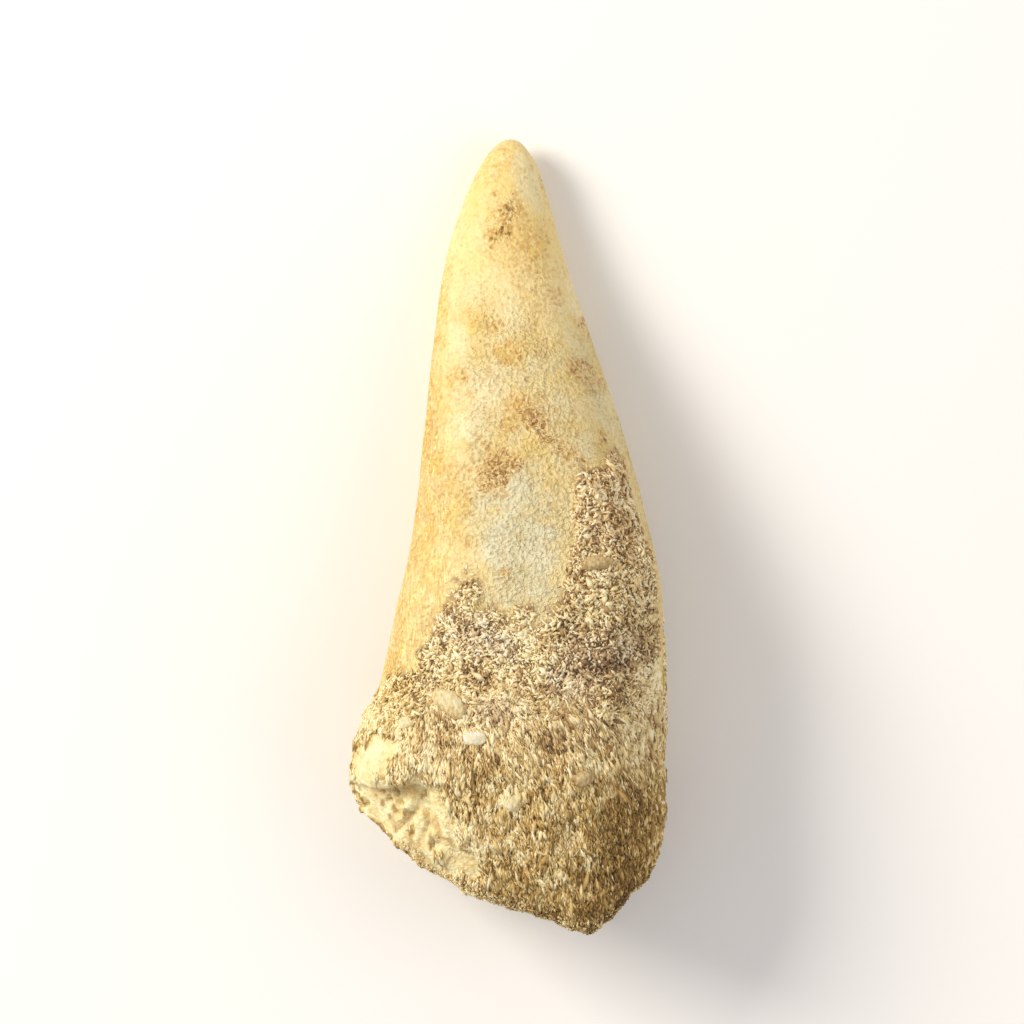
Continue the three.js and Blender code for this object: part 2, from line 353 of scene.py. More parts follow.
def depth_at_break(angle, tries=12):
    """How far from the tip the break cuts the body, at each angle round it."""
    depth = FIRST_GUESS + 0 * angle
    for _ in range(tries):
        p = surface_point(depth, angle, depth)
        depth = TIP_Y - break_y(p[..., 0], p[..., 2])
    return depth


# %% [markdown]
# ## What stands on the body
#
# These masks run from 0 to 1 over the skin. The crust starts at a line that wanders round the
# tooth. The chip is a hollow below a ledge on the left corner, with bone bulging above it.

# %% Masks of the crust and the chip
# degrees round the tooth, millimetres from the tip
crust_limit = curve([
    (0, 27.5), (14, 25), (24, 16.4), (45, 15.9), (65, 17), (74, 20.6), (84, 22.6), (104, 22.9),
    (110, 22), (116, 21.5), (124, 21.7), (132, 23), (138, 24.8), (148, 25.4), (162, 26.5), (180, 27.6),
    (205, 24), (232, 19.5), (262, 17.5), (290, 19.8), (318, 16.8), (345, 20.5), (360, 27.5),
])
CRUST_HEIGHT = 0.3
CRUST_FADE = 0.9
CRUST_STRAY = 0.9
CRUST_LUMPS = 0.15
SAND_FADE = 1.2
SAND_LEAD = 0.2
SAND_PATCHES = 0.9
BODY_SWELLS = 0.12
LEDGE_Y = -11.95
LEDGE_DROP = 0.32
LEDGE_WANDER = 0.18
CHIP_RIGHT = -3.9
CHIP_SLOPE = 0.25
CHIP_REACH = 3.8
CHIP_FULL = 0.35 * CHIP_REACH
CHIP_DEPTH = 0.5
BULGE_X, BULGE_Y, BULGE_RADIUS, BULGE_HEIGHT = -6.2, -10.9, 1.4, 0.42


def upper_side(angle):
    """1 on top of the tooth, and 0 underneath."""
    return ramp(0.05, 0.55, np.sin(angle))


def chip_share(p, upper):
    """How deep in the chip a place is. It drops off at the ledge, and runs out further down."""
    x, y = p[..., 0], p[..., 1]
    below = ramp(0, LEDGE_DROP, LEDGE_Y + LEDGE_WANDER * noise(x * 1.3, 7, 3) - y)
    fade = 1 - ramp(CHIP_FULL, CHIP_REACH, LEDGE_Y - y)
    edge = CHIP_RIGHT - CHIP_SLOPE * (y - LEDGE_Y)
    across = 1 - ramp(edge - LEDGE_DROP, edge + LEDGE_DROP, x)
    return below * fade * across * upper


def crust_share(p, depth, angle):
    """How much of the crust's height stands at a place, and how much sand lies there."""
    stray = CRUST_STRAY * (noise_at(p, 1.9) + 0.5 * noise_at(p, 0.8))
    reach = depth - crust_limit(np.degrees(angle) % 360) + stray
    patchy = SAND_PATCHES * (noise_at(p, 0.7) + 0.7 * noise_at(p + 9, 0.36))
    return ramp(-CRUST_FADE, CRUST_FADE, reach), ramp(-SAND_FADE, SAND_FADE, reach + patchy + SAND_LEAD)


print("crust starts on the upper side, mm from the tip:", round(float(crust_limit(90)), 1))

# %% [markdown]
# ## Stains, films and bare places
#
# Iron in the ground stained the enamel in rusty blots, and a thin film of fine sand sticks to the
# middle of the fang. Two places stayed bare: a grey-green window above the crust, and a golden,
# striped strip down the left side. Each blot is an ellipse with a ragged edge. Masks made of
# formulas stay sharp at any distance, and they also steer where the sand lies.

# %% Masks of stains and bare places
# x, y, half length, half width, turn in degrees, strength
RUST_AND_SHADE_BLOTS = [
    (-0.12, 15.45, 0.75, 0.42, 62, 0.85), (-0.5, 14.5, 0.7, 0.46, 58, 1.05), (-0.3, 15, 1.5, 0.9, 62, 0.45),
    (-0.68, 16.35, 0.2, 0.16, 0, 0.7), (0.2, 16.42, 0.1, 0.1, 0, 0.8), (-0.2, 18.35, 0.24, 0.12, 25, 0.55),
    (-0.7, 17.7, 0.26, 0.12, 25, 0.5), (1.62, 16.7, 0.6, 0.16, 110, 0.75),
    (1.95, 15.9, 0.7, 0.14, 110, 0.8), (1.85, 14.1, 0.3, 0.1, 110, 0.75), (0.45, 14.6, 0.12, 0.1, 0, 0.7),
    (0.6, 13.2, 1.9, 1.1, 125, 0.32), (1.35, 13.2, 0.35, 0.2, 0, 0.6), (-0.6, 9.7, 0.6, 0.4, 70, 0.55),
    (0, 8.6, 0.9, 0.6, 110, 0.42), (-1.6, 10, 0.12, 0.08, 20, 0.9), (-3.1, 9.1, 0.1, 0.08, 0, 0.8),
    (-3.65, 8.35, 0.1, 0.08, 0, 0.9), (-1.4, 7.95, 0.12, 0.08, 0, 0.9), (-2.45, 5.9, 0.14, 0.1, 0, 0.8),
    (3.65, 9.9, 0.6, 0.3, 110, 0.65), (3.6, 7.75, 1, 0.6, 140, 0.85), (3.9, 7.2, 0.35, 0.2, 130, 0.8),
    (-2.2, 7.5, 0.3, 0.18, -30, 0.9), (1.2, 5.6, 1.4, 0.9, 125, 0.72), (1.3, 5.3, 0.8, 0.45, 120, 1),
    (-0.6, 3.9, 0.7, 0.3, 20, 0.8), (-0.5, 2.9, 1.2, 0.85, 50, 1), (-1.3, 3.3, 1.9, 1.2, 40, 0.38),
    # Of the next row, the blot at 1.7, 11.9 is painted shade on the fang's right flank, laid in rust's
    # colours.
    (2.9, 3.9, 1.2, 0.5, 140, 0.6), (1.9, 4.8, 0.8, 0.35, 130, 0.55), (1.7, 11.9, 1.7, 0.8, 110, 0.46),
    (5.2, 3.6, 0.6, 0.4, 110, 1), (4.5, 4.7, 0.35, 0.18, 110, 0.8), (-2.4, -3.2, 1, 0.6, 60, 0.6),
    (-0.2, -1.9, 0.3, 0.3, 0, 0.8), (0.5, -0.68, 0.12, 0.08, 0, 1.4),
]
# Clouds in the enamel, as the same numbers: paler above 0, and more golden below it. One pale cloud is
# painted light.
CLOUDS_AND_PAINTED_LIGHT = [
    (-2.5, 9.4, 0.8, 0.5, 80, 0.8), (-2.5, 5.1, 0.9, 0.7, 0, 1), (-1.3, 4.5, 0.8, 0.5, 60, 0.9),
    (-1.2, 6.9, 1.5, 1, 90, 0.6), (3.3, 11.2, 1.1, 0.4, 110, 0.8), (-3.2, 0.9, 0.9, 0.4, 90, 0.6),
    (0.9, 2.6, 0.9, 0.7, 60, 0.6), (-1, 0.3, 1.1, 0.8, 90, 1), (-4.6, -5, 0.9, 0.5, 80, 0.9),
    (-5.2, -7.2, 0.7, 0.5, 60, 0.9), (-4, -3.2, 1.2, 0.3, 85, 0.8), (-4.1, 4.4, 2.6, 0.7, 84, -1),
    (-3.4, 11.2, 2.4, 0.5, 84, -0.8), (-3.1, 2.6, 1.2, 0.7, 60, -0.7), (-0.7, 17.7, 1, 0.6, 60, -0.5),
    # The pale cloud at 0.9, 16.9 is painted light on the right side of the tip, which the lamp leaves in
    # shade.
    (0.9, 16.9, 1.5, 0.6, 112, 0.9), (-1.2, 10, 0.8, 0.6, 0, -0.35), (0.1, 8.7, 1.1, 0.8, 110, -0.35),
    (-2.4, 7.4, 0.9, 0.6, 0, -0.6), (-4.9, 0.4, 3.2, 0.4, 84, -0.6), (0.2, 6.2, 0.9, 0.6, 60, -0.6),
    (1, 14.2, 1.3, 0.7, 110, -0.7), (3.4, 8.9, 1.7, 0.6, 108, 0.5), (4.7, 6, 1.3, 0.5, 110, 0.9),
    (-5.4, -5.6, 1.6, 0.3, 75, -0.8),
]
# The same numbers without a strength: bone that no sand covers, round the chip, then the window.
BARE_BONE = [
    (-6.5, -10.9, 1.35, 1.15, 20), (-6.1, -13, 2.2, 1.5, 120), (-3.7, -14, 2.3, 0.75, 118),
    (-4.7, -14.8, 2.1, 0.7, 142), (-2.2, -15.6, 1.2, 0.5, 130), (-3.4, -13.4, 2, 0.65, 118),
    (-4.3, -14.2, 1.5, 0.9, 112),
]
WINDOW = [
    (0.55, -0.7, 2.7, 1.5, 99), (-0.75, 1.7, 0.8, 0.3, 15), (-0.4, -0.3, 1.6, 0.9, 80),
    (0.2, 1.8, 1.3, 0.9, 75),
]
SMOOTH_PLACE = (2.3, 11, 2.2, 1.1, 110)
STRIP_RIGHT, STRIP_TOP = -1.9, 6.6
# Where film and wear fade in: 0 at the first y or x, and 1 at the second.
FILM_Y, FILM_X = (13.8, 9.5), (-3.9, -1.6)
WORN_Y, WORN_X = (12.6, 9.5), (-3.8, -1.2)
# The same for the distance to the break: finer sand, and sand that always lies there.
RIM_FINE, RIM_SANDY, RIM_SAND_SHARE = (0.8, 0.1), (0.75, 0.15), 0.8


def from_middle(p, x, y, long, wide, turn):
    """0 in the middle of an ellipse seen from above, and 1 on its edge."""
    c, s = math.cos(math.radians(turn)), math.sin(math.radians(turn))
    dx, dy = p[..., 0] - x, p[..., 1] - y
    return np.hypot((c * dx + s * dy) / long, (-s * dx + c * dy) / wide)


def blot(p, *ellipse):
    """1 in the middle of an ellipse, and 0 well outside it, with a ragged edge."""
    ragged = 0.35 * noise_at(p, 0.55) + 0.25 * noise_at(p, 0.28)
    return 1 - ramp(0.55, 1.35, from_middle(p, *ellipse) + ragged)


def skin_masks(p, depth, angle, end):
    """Where each skin of the tooth shows, from 0 to 1. end is the depth at which the break cuts it."""
    x, y = p[..., 0], p[..., 1]
    upper = upper_side(angle)
    above = ramp(-0.3, 0.1, np.sin(angle))
    under = 1 - ramp(-0.35, 0, np.sin(angle))
    chip = chip_share(p, upper)
    bone = chip
    for place in BARE_BONE:
        bone = np.maximum(bone, blot(p, *place) * above)
    crumbled = (0.4 * noise_at(p, 0.4) + 0.3 * noise_at(p, 0.2)) * ramp(0, 0.3, bone)
    bone = np.maximum(chip, ramp(0.15, 0.85, bone + crumbled)) * above
    crust, sandy = (share * (1 - bone) for share in crust_share(p, depth, angle))
    rim = ramp(*RIM_FINE, end - depth)
    rim_sand = RIM_SAND_SHARE * ramp(*RIM_SANDY, end - depth + 0.3 * noise_at(p, 0.5)) * ramp(-5.8, -5, x)
    sandy = np.maximum(sandy, rim_sand)
    rust_and_shade = 0 * x
    for *place, strength in RUST_AND_SHADE_BLOTS:
        rust_and_shade = np.maximum(rust_and_shade, strength * blot(p, *place) * above)
    rust_and_shade = np.maximum(rust_and_shade, under * 0.7 * ramp(0.15, 0.6, noise_at(p + 31, 2.4)) * ramp(2, 8, depth))
    window = np.max([blot(p, *place) for place in WINDOW], axis=0) * upper
    cloud_and_light = sum(strength * blot(p, *place) for *place, strength in CLOUDS_AND_PAINTED_LIGHT)
    golden_flank = 0.7 * ramp(-2.6, -4.2, x) * ramp(9, 6, y) * ramp(-6, 1, y)
    cloud_and_light = (cloud_and_light - golden_flank) * above
    strip = ramp(STRIP_RIGHT, STRIP_RIGHT - 1.6, x + 0.4 * noise_at(p, 1))
    strip = strip * ramp(STRIP_TOP, STRIP_TOP - 3, y) * (1 - crust) * (1 - bone)
    film = ramp(*FILM_Y, y) * ramp(*FILM_X, x + 0.6 * noise_at(p, 1.3)) * (1 - window) * (1 - crust)
    film = film * (1 - 0.75 * ramp(0.94, 0.99, np.cos(angle))) * (0.65 + 0.35 * noise_at(p, 0.9))
    worn = ramp(*WORN_Y, y + 1.2 * noise_at(p, 2)) * ramp(*WORN_X, x + 0.6 * noise_at(p, 1.5))
    worn = worn * (1 - 0.7 * blot(p, *SMOOTH_PLACE))
    spotty = mix(0.7, 1, ramp(-0.4, 0.5, noise_at(p, 1.3)))
    grainy = mix(0.25, 1, np.maximum(worn, 0.6 * ramp(12, 7, y))) * spotty
    grainy = mix(np.maximum(grainy, rust_and_shade), 0.35, bone)
    return {
        "chip": chip, "bone": bone, "crust": crust, "sandy": sandy, "rust_and_shade": rust_and_shade,
        "window": window, "strip": strip, "film": film, "grainy": grainy, "rim": rim,
        "pale": np.maximum(cloud_and_light, 0), "golden": np.maximum(-cloud_and_light, 0),
    }


# %% [markdown]
# The crust is rusty at its top and grey in its middle, with patches turned mauve by clay. Towards
# the break it is golden and streaked, because there the sand fills the grain of weathered bone. The
# streaks fan out down the base, so a coordinate across them is worked out here for the patterns.

# %% Tones of the crust
# The dark blots at the right and lower right are partly the crust's own brown and partly painted shade, where
# the base turns away from the key light.
# x, y, half length, half width, turn in degrees, how much lighter
CRUST_TONES = [
    (-1.4, -4.5, 1.3, 0.9, -30, -0.1), (1.5, -7.8, 5.5, 1, 0, -0.08), (2.5, -5.3, 0.8, 0.7, 0, -0.16),
    (3.3, -6.8, 0.9, 0.6, 0, 0.12), (-0.7, -8.7, 0.8, 0.6, 0, -0.12), (-0.8, -10, 0.45, 0.35, 0, -0.3),
    (0.8, -5.6, 1.9, 1.2, -10, 0.2), (5, -5.6, 2.1, 1.3, 15, -0.24), (-2.6, -5.8, 0.8, 0.8, 0, 0.2),
    (-2.5, -3.3, 1, 0.9, 0, 0.1), (0, -3.9, 2.2, 1, 0, 0.14), (5, -2, 1.9, 1.5, 90, -0.08),
    (5.2, 1, 2.2, 1.1, 100, -0.05), (4.6, -7.6, 1.9, 0.7, -35, -0.12), (-1.6, -11.1, 1.2, 0.8, 0, -0.2),
    (0.1, -12.8, 0.8, 0.6, 60, 0.2), (-2, -15.6, 0.8, 0.5, 0, 0.34), (3.6, -10.2, 0.9, 0.8, 0, 0.16),
    (2.4, -9.8, 2.8, 1.2, 0, -0.18), (-0.8, -13.3, 2.6, 2.4, 0, -0.15), (4.6, -7.2, 1.8, 1, 0, -0.08),
    (3.4, -13.4, 3.4, 3, 90, -0.1), (6.4, -14, 4.4, 2.6, 80, -0.31), (4.4, -17.4, 3, 1.6, 60, -0.26),
    (1, -17.2, 3.4, 0.9, -20, -0.24), (-5.4, -8.2, 2.6, 1.7, 90, -0.03), (-6.2, -10.4, 2, 1.7, 0, 0.16),
    (-2.2, -14.3, 0.9, 0.8, -50, 0.24), (-2.6, -16.5, 1.8, 0.6, -25, 0.12),
    (1.3, -12.7, 0.6, 0.7, 0, -0.34), (1.3, -15.9, 0.7, 0.6, 0, -0.36), (3.4, -11.6, 0.6, 0.6, 0, 0.15),
    (-0.8, -9.1, 0.6, 0.3, 0, -0.25), (-1.9, -10.6, 0.6, 0.5, 0, -0.22), (-4, -8.5, 0.6, 0.6, 0, -0.22),
    (0.2, -13.8, 0.5, 0.5, 0, 0.15), (-1, -2.9, 0.9, 0.5, 0, 0.2), (5.5, -11.3, 0.8, 1, 0, 0.2),
    (6.8, -6.8, 0.7, 0.8, 0, 0.26), (5, 2.4, 1.6, 1, 110, 0.05), (-4.4, -11.4, 1.8, 1.2, 100, 0.12),
]
# x, y, half length, half width, turn in degrees
CLAY_SPOTS = [
    (4.3, -5.6, 2, 1.2, 0), (3.2, -7, 1.6, 0.9, 0), (-1.2, -4.9, 1.8, 0.9, -20), (-0.7, -8.6, 1.2, 0.8, 0),
]
MAUVE_SHARE = 0.75
RUSTY_SHARE = 0.6
GOLD_START, GOLD_FULL = -9, -13
STREAK_START, STREAK_FULL = -6.4, -10.4
FAN_MIDDLE, FAN_RATE, FAN_EXTRA, FAN_TURN = -4.4, 0.025, 0.045, -10.8


def crust_tones(p):
    """How light, streaked, golden, rusty and mauve the crust is, and the coordinate across its streaks."""
    x, y = p[..., 0], p[..., 1]
    streaky = ramp(STREAK_START, STREAK_FULL, y + 1.1 * noise_at(p, 1.7))
    spread = FAN_RATE * (y - STREAK_FULL) + FAN_EXTRA * np.logaddexp(0, y - FAN_TURN)
    across = (x - FAN_MIDDLE) * np.exp(spread) + FAN_MIDDLE
    clumps = noise_at(p, 0.42) + 0.7 * noise_at(p + 3, 0.24)
    strands = noise(across / 0.24, y / 1.1, 5) + 0.7 * noise(across / 0.14, y / 0.6, 8)
    fine = mix(clumps, strands + 0.6 * clumps, streaky)
    light = 0.06 * noise_at(p, 2.2) + 0.1 * noise_at(p, 0.9) + 0.15 * fine
    for *place, lighter in CRUST_TONES:
        light = light + lighter * blot(p, *place)
    gold = np.maximum(ramp(GOLD_START, GOLD_FULL, y + 0.8 * noise_at(p, 1.5)), ramp(-3.5, -5.5, x))
    rusty = RUSTY_SHARE * ramp(-4, 2, y) * ramp(-0.5, 2.5, x)
    mauve = MAUVE_SHARE * np.max([blot(p, *place) for place in CLAY_SPOTS], axis=0)
    tints = {"gold": gold, "rusty": rusty, "mauve": mauve}
    return {"light": light, "streaky": streaky, "across": across} | tints


# %% [markdown]
# ## Relief
#
# The crust stands 0.3 mm proud with lumps in it, the chip is cut in 0.5 mm deep, with finger-like
# lobes, and the bare bone is flaked and has pores. The ground that the sand is set in lies a little
# under the crust's skin, so that the grains end level with the solid.

# %% Relief
SAND_PROUD = 0.11
# x, y, radius across, radius along
PORES = [
    (-6.07, -12.86, 0.13, 0.2), (-5.54, -13.05, 0.12, 0.18), (-5.45, -12.1, 0.14, 0.2),
    (-4.2, -12.55, 0.07, 0.18), (-4.73, -14.3, 0.1, 0.3), (-5.69, -12.6, 0.07, 0.18),
    (-6.98, -12.95, 0.1, 0.14), (-5.73, -13.53, 0.07, 0.17), (-5.72, -11.72, 0.1, 0.16),
    (-5.45, -14.1, 0.09, 0.24), (-6.4, -12.5, 0.08, 0.1), (-5.05, -13.4, 0.07, 0.22),
    (-3.75, -14.9, 0.09, 0.3),
]
PORE_DEPTH = 0.4
# x, y, half length, half width, turn in degrees
FINGERS = [
    (-4.4, -14, 0.85, 0.36, 82), (-3.85, -14.75, 0.8, 0.4, 76), (-5.15, -13.3, 0.7, 0.3, 70),
    (-4.9, -12.75, 0.6, 0.3, 100), (-3.3, -15.35, 0.7, 0.4, 65),
]
FINGER_HEIGHT = 0.24
STRIPE_HEIGHT = 0.018
WEAR_HEIGHT = 0.02


def pores(p):
    """1 in the middle of each of the pores, and 0 outside."""
    found = 0 * p[..., 0]
    for x, y, across, along in PORES:
        away = ((p[..., 0] - x) / across) ** 2 + ((p[..., 1] - y) / along) ** 2
        found = np.maximum(found, np.exp(-(away**2)))
    return found


def fingers(p):
    """The finger-like lobes of the chipped bone: 1 along their middle, and below 0 in the gaps."""
    found = gap = 0 * p[..., 0]
    for finger in FINGERS:
        away = from_middle(p, *finger) + 0.2 * noise_at(p, 0.3)
        found = np.maximum(found, 1 - ramp(0.4, 1, away))
        gap = np.maximum(gap, bell(away - 1.15, 0.3))
    return found - 0.5 * gap * (1 - found)


def relief(p, depth, angle, masks):
    """How far the skin lies outside the smooth body."""
    x, y = p[..., 0], p[..., 1]
    crust, chip = masks["crust"], masks["chip"]
    keel = KEEL_HEIGHT * keel_taper(depth) * bell(np.sin(angle), KEEL_WIDTH)
    swells = BODY_SWELLS * ramp(8, 30, depth) * noise_at(p, 4.5)
    lumps = CRUST_LUMPS * (noise_at(p, 1.6) + 0.6 * noise_at(p, 0.95))
    ground = 0.05 * noise_at(p, 0.5) + 0.05 * noise_at(p, 0.27) - SAND_PROUD
    bulge = BULGE_HEIGHT * bell(np.hypot(x - BULGE_X, y - BULGE_Y), BULGE_RADIUS) * upper_side(angle)
    lobed = FINGER_HEIGHT * fingers(p) + 0.06 * noise_at(p, 0.45)
    flaked = masks["bone"] * (0.09 * noise_at(p, 0.6) + 0.05 * noise_at(p, 0.26) - PORE_DEPTH * pores(p))
    stripes = STRIPE_HEIGHT * masks["strip"] * noise(x / 0.17, y / 5, 2)
    wear = WEAR_HEIGHT * noise_at(p, 1.1) * (1 - crust) * (1 - chip)
    return (keel + swells + wear + stripes + crust * (CRUST_HEIGHT + lumps + ground)
            + bulge * (1 - chip) + flaked + chip * (lobed - CHIP_DEPTH))


# %% [markdown]
# ## The tooth's mesh
#
# Rings of points run from the tip to the break, then over the broken face to its middle. They are
# so close that relief down to a grain's size is real, and closest at the round tip and near the
# chip. More points go to the upper side. Each is pushed out along the smooth body's normal.

# %% Lay out the tooth
RINGS = 296
ring_place = curve([(0, 0), (0.1, 0.045), (0.74, 0.86), (1, 1)])
CAP_RINGS = 26
AROUND = 292
UPPER_CROWDING = 0.22
FACE_SAND = 0.7


def grid_normals(grid):
    """Outward normals of a grid of points whose columns go round."""
    along = np.gradient(grid, axis=0)
    around = np.roll(grid, -1, axis=1) - np.roll(grid, 1, axis=1)
    normals = np.cross(around, along)
    return normals / np.maximum(np.linalg.norm(normals, axis=-1, keepdims=True), 1e-12)


def broken_face(rim, share):
    """The rough face of the break, hollowed where the pulp was. share is how far in from its rim."""
    x = mix(rim[..., 0], DISH_X, share)
    z = mix(rim[..., 2], DISH_Z, share)
    dish = DISH_DEPTH * bell(np.hypot(x - DISH_X, z - DISH_Z), DISH_RADIUS)
    rough = 0.28 * noise(x / 1.4, 5, z / 1.4) + 0.16 * noise(x / 0.7, 9, z / 0.7)
    fine = 0.07 * noise(x / 0.33, 3, z / 0.33) + 0.04 * noise(x / 0.18, 6, z / 0.18)
    inside = ramp(0, 0.3, share) * (1 - 0.4 * ramp(0.6, 1, share))
    y = break_y(x, z) + (dish + rough) * inside + fine * ramp(0, 0.08, share)
    return np.stack([x, y, z], -1)


def tooth_points():
    """The points of the tooth, ring by ring, and the masks at each."""
    turn = np.arange(AROUND) * 2 * np.pi / AROUND
    angle = turn + UPPER_CROWDING * np.cos(turn)
    end = depth_at_break(angle)
    share = ring_place(np.arange(1, RINGS + 1)[:, None] / RINGS)
    depth = share * end
    angles = angle + 0 * depth
    body = surface_point(depth, angles, end)
    masks = skin_masks(body, depth, angles, end)
    inward = np.arange(1, CAP_RINGS)[:, None] / CAP_RINGS
    normals = grid_normals(np.concatenate([body, broken_face(body[-1:], inward)]))[:RINGS]
    body = body + relief(body, depth, angles, masks)[..., None] * normals
    face = broken_face(body[-1:], inward)
    grid = np.concatenate([body, face])
    masks["broken"] = 0 * depth
    for name in masks:
        masks[name] = np.concatenate([masks[name], 0 * face[..., 0]])
    for name in ("broken", "rim", "grainy"):
        masks[name][RINGS:] = 1
    masks["sandy"][RINGS:] = mix(masks["sandy"][RINGS - 1], FACE_SAND, ramp(0, 0.3, inward))
    masks.update(crust_tones(grid))
    grid[..., 2] = np.maximum(grid[..., 2], 0)
    middle = broken_face(grid[RINGS - 1, :1], 1)[0]
    points = np.concatenate([[(TIP_X, TIP_Y, TIP_Z)], grid.reshape(-1, 3), [middle]])
    flat = {name: np.concatenate([[0], mask.ravel(), [mask[-1].mean()]]) for name, mask in masks.items()}
    return points, flat, grid


def tooth_faces(rows):
    """Quads between the rings and a fan of triangles at each end, and each corner's place on the map."""
    i, j = (a.ravel() for a in np.meshgrid(np.arange(rows - 1), np.arange(AROUND), indexing="ij"))
    k = np.arange(AROUND)
    tip, last, end = 0 * k, 0 * k + rows - 1, 0 * k + rows
    at = lambda ring, column: 1 + ring * AROUND + column % AROUND
    side_by_side = lambda *parts: np.stack(parts, -1)
    quads = side_by_side(at(i, j), at(i, j + 1), at(i + 1, j + 1), at(i + 1, j))
    tip_fan = side_by_side(tip, at(0, k + 1), at(0, k))
    end_fan = side_by_side(1 + end * AROUND, at(rows - 1, k), at(rows - 1, k + 1))
    columns = (j, j + 1, j + 1, j), (k + 0.5, k + 1, k), (k + 0.5, k, k + 1)
    rings = (i, i, i + 1, i + 1), (tip - 1, tip, tip), (end, last, last)
    uv = [
        np.stack([side_by_side(*c), side_by_side(*r) + 1], -1).reshape(-1, 2) / [AROUND, rows + 1]
        for c, r in zip(columns, rings)
    ]
    return [quads, tip_fan, end_fan], uv


tooth_at, skin, tooth_grid = tooth_points()
ring_gaps = np.linalg.norm(np.diff(tooth_grid[:, AROUND // 4], axis=0), axis=-1)
print("tooth points:", len(tooth_at), " from ring to ring, mm:", round(float(ring_gaps.mean()), 3))

# %% [markdown]
# ## From points to a Blender mesh
#
# One helper makes every mesh here. It writes the points in metres, keeps each mask as an attribute
# that a material can read, and adds a UV map for baking. The tooth's map is the skin unrolled.

# %% Mesh helper
low_corner, high_corner = (np.array(corner) for corner in cad_box)


def mesh_object(name, points, faces, uv, attributes, material):
    """A mesh that rides on the tooth's body. faces and uv are lists with an array for each kind of
    face. The solid is the limit of size, so what would stick out of its box is pressed flat."""
    inside = np.clip(points * MM, low_corner, high_corner)
    corners = np.concatenate([group.ravel() for group in faces])
    totals = np.concatenate([np.full(len(group), group.shape[1]) for group in faces])
    mesh = bpy.data.meshes.new(name)
    mesh.vertices.add(len(inside))
    mesh.vertices.foreach_set("co", inside.ravel())
    mesh.loops.add(len(corners))
    mesh.loops.foreach_set("vertex_index", corners)
    mesh.polygons.add(len(totals))
    mesh.polygons.foreach_set("loop_start", np.cumsum(totals) - totals)
    mesh.polygons.foreach_set("loop_total", totals)
    mesh.polygons.foreach_set("use_smooth", np.ones(len(totals), bool))
    mesh.update(calc_edges=True)
    for label, values in attributes.items():
        mesh.attributes.new(label, "FLOAT", "POINT").data.foreach_set("value", values.astype(np.float32))
    mesh.uv_layers.new(name="OFBake").data.foreach_set("uv", np.concatenate(uv).astype(np.float32).ravel())
    mesh.materials.append(material)
    made = new_object(name, mesh)
    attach(made, "root")
    print(name, "triangles:", int((totals - 2).sum()))
    return made


# %% [markdown]
# ## Patterns and coats
#
# Every finish is made of coats: a colour laid over another where a pattern is strong enough, or
# where a mask says, or both. A streaked pattern takes the coordinate across the streaks for X.

# %% Pattern and coat helpers
def pattern(tree, size, detail=2, stretch=(1, 1, 1), streaked=False):
    """Noise from 0 to 1 whose lumps are about size millimetres across, in the tooth's own frame."""
    place = add(tree, "TexCoord", out="Object")
    if streaked:
        parts = add(tree, "SeparateXYZ", {0: place}).node.outputs
        across = maths(tree, "MULTIPLY", mask_of(tree, "across"), MM)
        place = add(tree, "CombineXYZ", {0: across, 1: parts["Y"], 2: parts["Z"]})
    scaled = add(tree, "VectorMath", {0: place, 1: [s / (size * MM) for s in stretch]}, operation="MULTIPLY")
    return add(tree, "TexNoise", {"Vector": scaled, "Scale": 1, "Detail": detail})


def ragged_mask(tree, name, grain, raggedness, low, high):
    """A mask of the mesh whose soft edge is broken up by a pattern."""
    shaken = maths(tree, "MULTIPLY_ADD", grain, raggedness, mask_of(tree, name))
    middle = raggedness / 2
    return add(tree, "MapRange", {0: shaken, 1: low + middle, 2: high + middle})


def coat(tree, under, over, share, low=0, high=1, most=1, where=None):
    """Lays a colour over another, each a socket or a hex value. The share is stretched so that low
    gives none and high gives the most, and where is a mask that holds the coat back."""
    share = add(tree, "MapRange", {0: share, 1: low, 2: high, 4: most})
    if where is not None:
        share = maths(tree, "MULTIPLY", share, where)
    under, over = (paint(c) if isinstance(c, str) else c for c in (under, over))
    return add(tree, "Mix", {0: share, 6: under, 7: over}, out=2, data_type="RGBA")


def coats(tree, colour, rows):
    """Lays coats in turn. A row is what coat takes after the colour underneath."""
    for row in rows:
        colour = coat(tree, colour, *row)
    return colour


def ramp_of(tree, tone, stops):
    """A colour for each tone, from stops of (tone, hex)."""
    colour = add(tree, "ValToRGB", {"Fac": tone})
    elements = colour.node.color_ramp.elements
    while len(elements) < len(stops):
        elements.new(0.5)
    for element, (at, hex_colour) in zip(elements, stops):
        element.position = at
        element.color = paint(hex_colour)
    return colour


# Sand from its darkest grains to its lightest: grey, or of one of three tints.
SAND_TONES = (0, 0.25, 0.5, 0.75, 1)
GREY_SAND = ("#533b20", "#8e6d46", "#c4a26e", "#ead397", "#fcf0c8")
SAND_TINTS = {
    "gold": ("#4f3819", "#8d6b34", "#c4a05b", "#e9cf8f", "#fff2c6"),
    "rusty": ("#55371a", "#946a3e", "#c89e67", "#eecb91", "#feeec6"),
    "mauve": ("#513a24", "#8a6c4e", "#c1a47d", "#e9d6ab", "#fbf1d8"),
}


def sand_colour(tree, tone):
    """The colour of sand of a tone: grey, or another tint where its attribute says so."""
    colour = ramp_of(tree, tone, list(zip(SAND_TONES, GREY_SAND)))
    for name, tint in SAND_TINTS.items():
        colour = coat(tree, colour, ramp_of(tree, tone, list(zip(SAND_TONES, tint))), mask_of(tree, name))
    return colour


